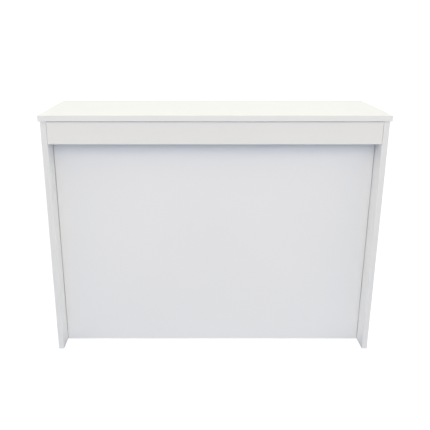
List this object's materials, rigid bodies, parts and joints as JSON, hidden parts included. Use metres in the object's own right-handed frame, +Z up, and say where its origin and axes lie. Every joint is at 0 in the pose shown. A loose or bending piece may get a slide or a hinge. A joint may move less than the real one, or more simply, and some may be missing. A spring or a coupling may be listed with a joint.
{
  "type": "checkout counter",
  "caption": "White melamine board checkout counter: flat worktop, recessed front panel under a fascia, and on the staff side a lockable cash drawer, open bays and an adjustable shelf.",
  "frame": {"origin": "on the floor, under the middle of the worktop", "axes": "+X along the counter to the customer's right, +Y from the customer side to the staff side, +Z up"},
  "size_m": [1.2, 0.4, 0.9],
  "materials": {
    "white_board": "satin",
    "white_edge_band": "satin",
    "drawer_board": "satin",
    "zinc_plate": "satin",
    "nickel_plate": "satin",
    "chrome_plate": "polished",
    "nylon": "matte"
  },
  "bodies": {
    "carcass": {"worktop": "white_board", "side_panel_left": "white_board", "side_panel_right": "white_board", "front_panel": "white_board", "fascia_rail": "white_board", "divider": "white_board", "bottom_shelf": "white_board", "rear_plinth": "white_board", "rear_top_rail": "white_board", "adjustable_shelf": "white_board", "worktop_edge_band": "white_edge_band", "side_front_band_left": "white_edge_band", "side_rear_band_left": "white_edge_band", "side_front_band_right": "white_edge_band", "side_rear_band_right": "white_edge_band", "fascia_bottom_band": "white_edge_band", "divider_rear_band": "white_edge_band", "bottom_shelf_rear_band": "white_edge_band", "adjustable_shelf_rear_band": "white_edge_band", "shelf_pin_front_left": "nickel_plate", "shelf_pin_rear_left": "nickel_plate", "shelf_pin_front_right": "nickel_plate", "shelf_pin_rear_right": "nickel_plate", "glide_front_left": "nylon", "glide_rear_left": "nylon", "glide_front_right": "nylon", "glide_rear_right": "nylon", "top_bracket_front_left": "zinc_plate", "top_bracket_rear_left": "zinc_plate", "top_bracket_front_right": "zinc_plate", "top_bracket_rear_right": "zinc_plate", "cam_disc_panel_lower_left": "zinc_plate", "cam_disc_panel_upper_left": "zinc_plate", "cam_disc_fascia_left": "zinc_plate", "cam_disc_panel_lower_right": "zinc_plate", "cam_disc_panel_upper_right": "zinc_plate", "cam_disc_fascia_right": "zinc_plate", "cam_bolt_panel_lower_left": "zinc_plate", "cam_bolt_panel_upper_left": "zinc_plate", "cam_bolt_fascia_left": "zinc_plate", "cam_bolt_panel_lower_right": "zinc_plate", "cam_bolt_panel_upper_right": "zinc_plate", "cam_bolt_fascia_right": "zinc_plate", "lock_strike": "zinc_plate", "runner_outer_left": "zinc_plate", "runner_outer_right": "zinc_plate"},
    "runner_middles": {"runner_middle_left": "zinc_plate", "runner_middle_right": "zinc_plate"},
    "drawer": {"drawer_front": "white_board", "drawer_front_band": "white_edge_band", "drawer_side_left": "drawer_board", "drawer_side_right": "drawer_board", "drawer_back": "drawer_board", "drawer_base": "drawer_board", "drawer_handle": "nickel_plate", "lock_housing": "chrome_plate", "runner_inner_left": "zinc_plate", "runner_inner_right": "zinc_plate"},
    "lock_core": {"lock_plug": "chrome_plate", "lock_tongue": "zinc_plate"}
  },
  "joints": [
    {"name": "drawer_slide", "type": "slide", "parent": "carcass", "child": "drawer", "axis": [0, 1, 0], "range_m": [0, 0.245]},
    {"name": "runner_middle_slide", "type": "slide", "parent": "carcass", "child": "runner_middles", "axis": [0, 1, 0], "range_m": [0, 0.1225]},
    {"name": "lock_turn", "type": "hinge", "parent": "drawer", "child": "lock_core", "pos_m": [-0.351, 0.165, 0.85], "axis": [0, 1, 0], "range_deg": [0, 90]}
  ],
  "couplings": [
    {"joint": "runner_middle_slide", "follows": "drawer_slide", "ratio": 0.5}
  ]
}
